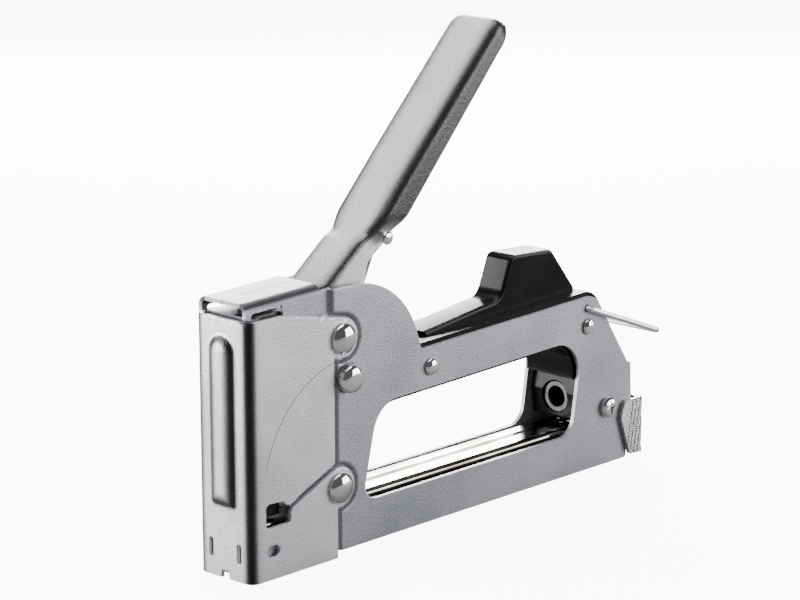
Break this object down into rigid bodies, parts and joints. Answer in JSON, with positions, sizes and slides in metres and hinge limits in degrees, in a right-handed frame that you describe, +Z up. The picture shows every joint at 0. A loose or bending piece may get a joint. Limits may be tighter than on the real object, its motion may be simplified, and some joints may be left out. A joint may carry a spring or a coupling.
{
  "type": "staple gun",
  "caption": "Hand staple gun: pressed steel body with a finger hole, squeeze handle, spring hammer, pull-out staple magazine, moulded grip insert and wire lock bail.",
  "frame": {"origin": "middle of the tool on the surface it stands on, under the middle of its box", "axes": "+X from the nose to the rear, +Y across to the right plate, +Z up"},
  "size_m": [0.1745, 0.0276, 0.1421],
  "materials": {
    "silver_paint": "satin silver, fine pebble grain",
    "silver_cover": "satin silver, fine pebble grain",
    "silver_handle": "satin silver grey, fine pebble grain",
    "black_moulding": "glossy black",
    "chrome": "polished plate",
    "bright_steel": "bright",
    "knurled_steel": "diagonal grooves",
    "dark_steel": "hardened, oiled",
    "spring_steel": "drawn wire",
    "staple_wire": "zinc plated wire",
    "bumper_rubber": "matt"
  },
  "bodies": {
    "body_frame": {"body_plate_left": "silver_paint", "body_plate_right": "silver_paint", "nose_cover": "silver_cover", "grip_insert": "black_moulding", "latch_block": "black_moulding", "latch_sleeve": "chrome", "rear_screw": "chrome", "rear_nut": "chrome", "pivot_pin": "chrome", "spring_seat": "bright_steel", "plunger_bumper": "bumper_rubber", "nose_guide": "bright_steel", "magazine_housing": "chrome", "staple_track": "bright_steel", "staple_strip": "staple_wire", "main_spring": "spring_steel", "upper_rivet_left": "chrome", "upper_rivet_right": "chrome", "lower_rivet": "chrome", "front_body_rivet": "chrome", "rear_body_rivet": "chrome", "pivot_washer_left": "bright_steel", "pivot_washer_right": "bright_steel"},
    "handle": {"handle_shell": "silver_handle", "handle_lever": "dark_steel", "handle_rivet": "chrome", "return_spring": "spring_steel"},
    "hammer": {"plunger": "dark_steel", "driver_blade": "bright_steel"},
    "magazine_slide": {"magazine_cap": "knurled_steel", "pusher_rod": "bright_steel", "cap_spring": "spring_steel", "pusher_spring": "spring_steel"},
    "follower": {"pusher": "dark_steel"},
    "bail": {"locking_bail": "bright_steel"}
  },
  "joints": [
    {"name": "handle_squeeze", "type": "hinge", "parent": "body_frame", "child": "handle", "pos_m": [-0.04856, 0, 0.0506], "axis": [0, 1, 0], "range_deg": [0, 38], "stiffness_Nm_per_rad": 0.3, "springref_deg": -34.38},
    {"name": "plunger_lift", "type": "slide", "parent": "body_frame", "child": "hammer", "axis": [0, 0, 1], "range_m": [0, 0.0157], "deforming": ["main_spring"]},
    {"name": "magazine_pull", "type": "slide", "parent": "body_frame", "child": "magazine_slide", "axis": [1, 0, 0], "range_m": [0, 0.11]},
    {"name": "pusher_slide", "type": "slide", "parent": "magazine_slide", "child": "follower", "axis": [1, 0, 0], "range_m": [0, 0.07], "stiffness_N_per_m": 60, "springref_m": -0.05, "deforming": ["pusher_spring"]},
    {"name": "bail_swing", "type": "hinge", "parent": "body_frame", "child": "bail", "pos_m": [0.05304, 0, 0.0519], "axis": [0, 1, 0], "range_deg": [-112, 22]}
  ],
  "couplings": [
    {"joint": "plunger_lift", "follows": "handle_squeeze", "m_per_rad": 0.023521}
  ]
}
